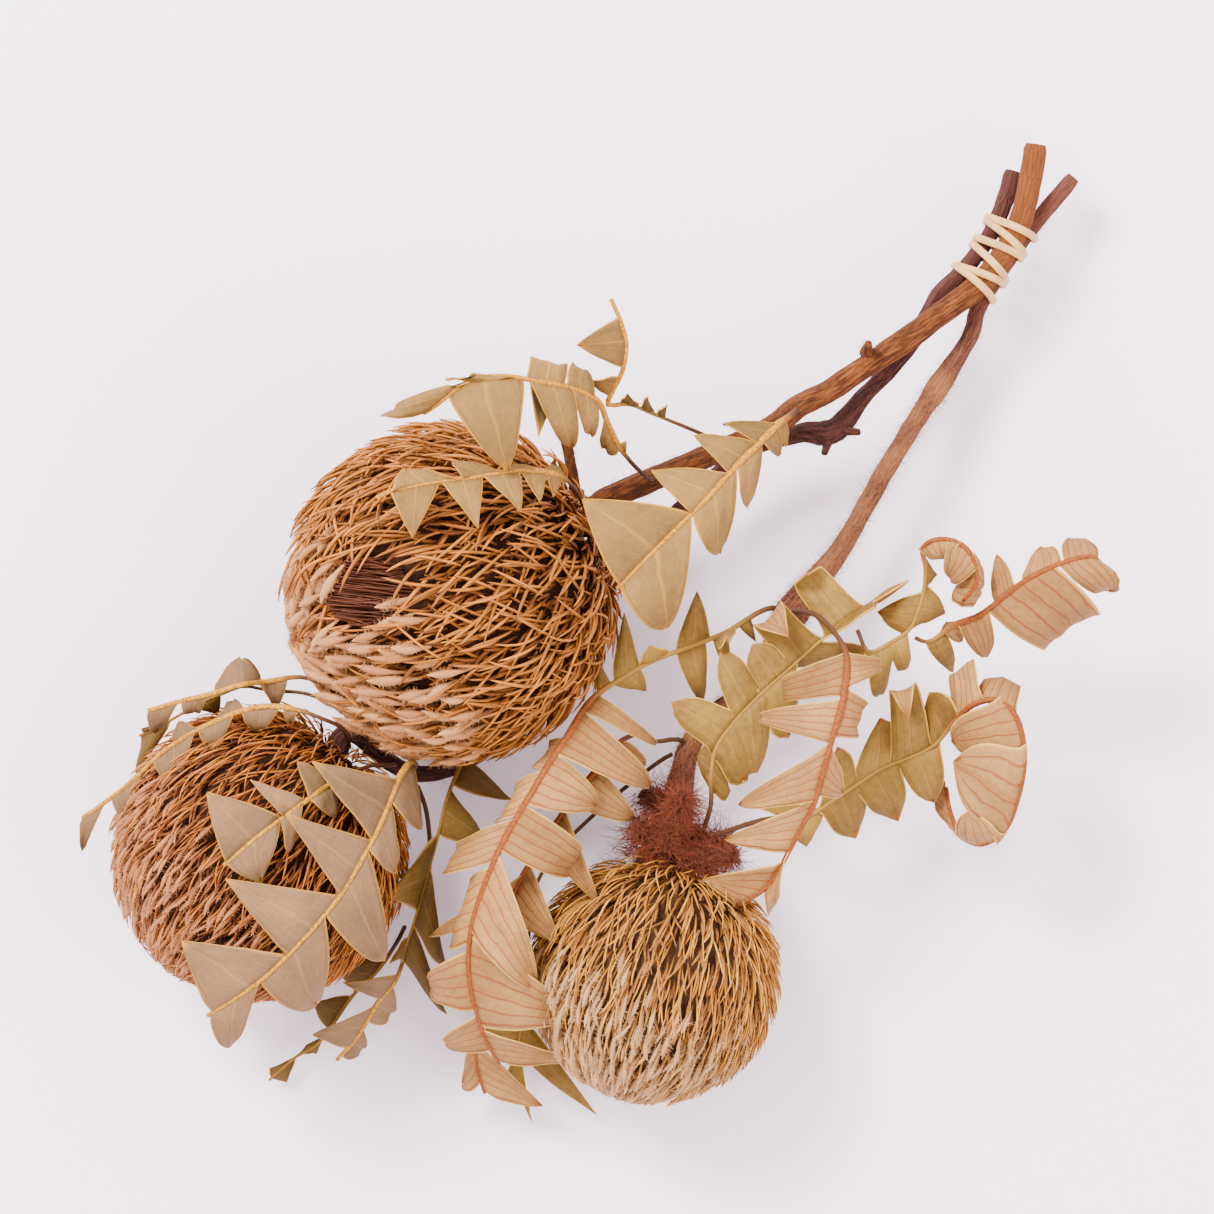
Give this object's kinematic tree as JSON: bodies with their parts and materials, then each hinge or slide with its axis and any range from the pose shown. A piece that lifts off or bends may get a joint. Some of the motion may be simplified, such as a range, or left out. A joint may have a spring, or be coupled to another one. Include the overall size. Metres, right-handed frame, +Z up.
{
  "type": "banksia cone",
  "caption": "Bunch of dried bird's-nest banksia flower heads on leafy stems, tied with a rubber band near the cut ends, lying on its side",
  "frame": {"origin": "middle of the bounding box, on the plane that the flower heads rest on", "axes": "+X from the heads towards the cut stem ends, +Z up from the resting plane, +Y across"},
  "size_m": [0.3082, 0.1838, 0.0904],
  "materials": {
    "head_top_skin": "dry, matt",
    "head_left_skin": "dry, matt",
    "head_right_skin": "dry, matt",
    "stem_top_skin": "dry, matt",
    "stem_left_skin": "dry, matt",
    "stem_right_skin": "dry, matt",
    "band_skin": "matt",
    "leaf_shoulder_skin": "dry, matt",
    "leaf_arch_skin": "dry, matt",
    "leaf_flag_skin": "dry, matt",
    "leaf_cross_skin": "dry, matt",
    "leaf_long_skin": "dry, matt",
    "leaf_under_skin": "dry, matt",
    "leaf_underlay_skin": "dry, matt",
    "leaf_edge_skin": "dry, matt",
    "leaf_front_skin": "dry, matt",
    "leaf_second_skin": "dry, matt",
    "leaf_rim_low_skin": "dry, matt",
    "leaf_rim_mid_skin": "dry, matt",
    "leaf_rim_high_skin": "dry, matt",
    "leaf_low_skin": "dry, matt",
    "leaf_low_back_skin": "dry, matt",
    "leaf_right_skin": "dry, matt",
    "leaf_olive_skin": "dry, matt",
    "leaf_scroll_skin": "dry, matt",
    "leaf_ring_skin": "dry, matt",
    "leaf_cap_skin": "dry, matt"
  },
  "bodies": {
    "root": {"head_top": "head_top_skin", "head_left": "head_left_skin", "head_right": "head_right_skin", "stem_top": "stem_top_skin", "stem_left": "stem_left_skin", "stem_right": "stem_right_skin", "band": "band_skin", "leaf_shoulder": "leaf_shoulder_skin", "leaf_arch": "leaf_arch_skin", "leaf_flag": "leaf_flag_skin", "leaf_cross": "leaf_cross_skin", "leaf_long": "leaf_long_skin", "leaf_under": "leaf_under_skin", "leaf_underlay": "leaf_underlay_skin", "leaf_edge": "leaf_edge_skin", "leaf_front": "leaf_front_skin", "leaf_second": "leaf_second_skin", "leaf_rim_low": "leaf_rim_low_skin", "leaf_rim_mid": "leaf_rim_mid_skin", "leaf_rim_high": "leaf_rim_high_skin", "leaf_low": "leaf_low_skin", "leaf_low_back": "leaf_low_back_skin", "leaf_right": "leaf_right_skin", "leaf_olive": "leaf_olive_skin", "leaf_scroll": "leaf_scroll_skin", "leaf_ring": "leaf_ring_skin", "leaf_cap": "leaf_cap_skin"}
  },
  "joints": []
}
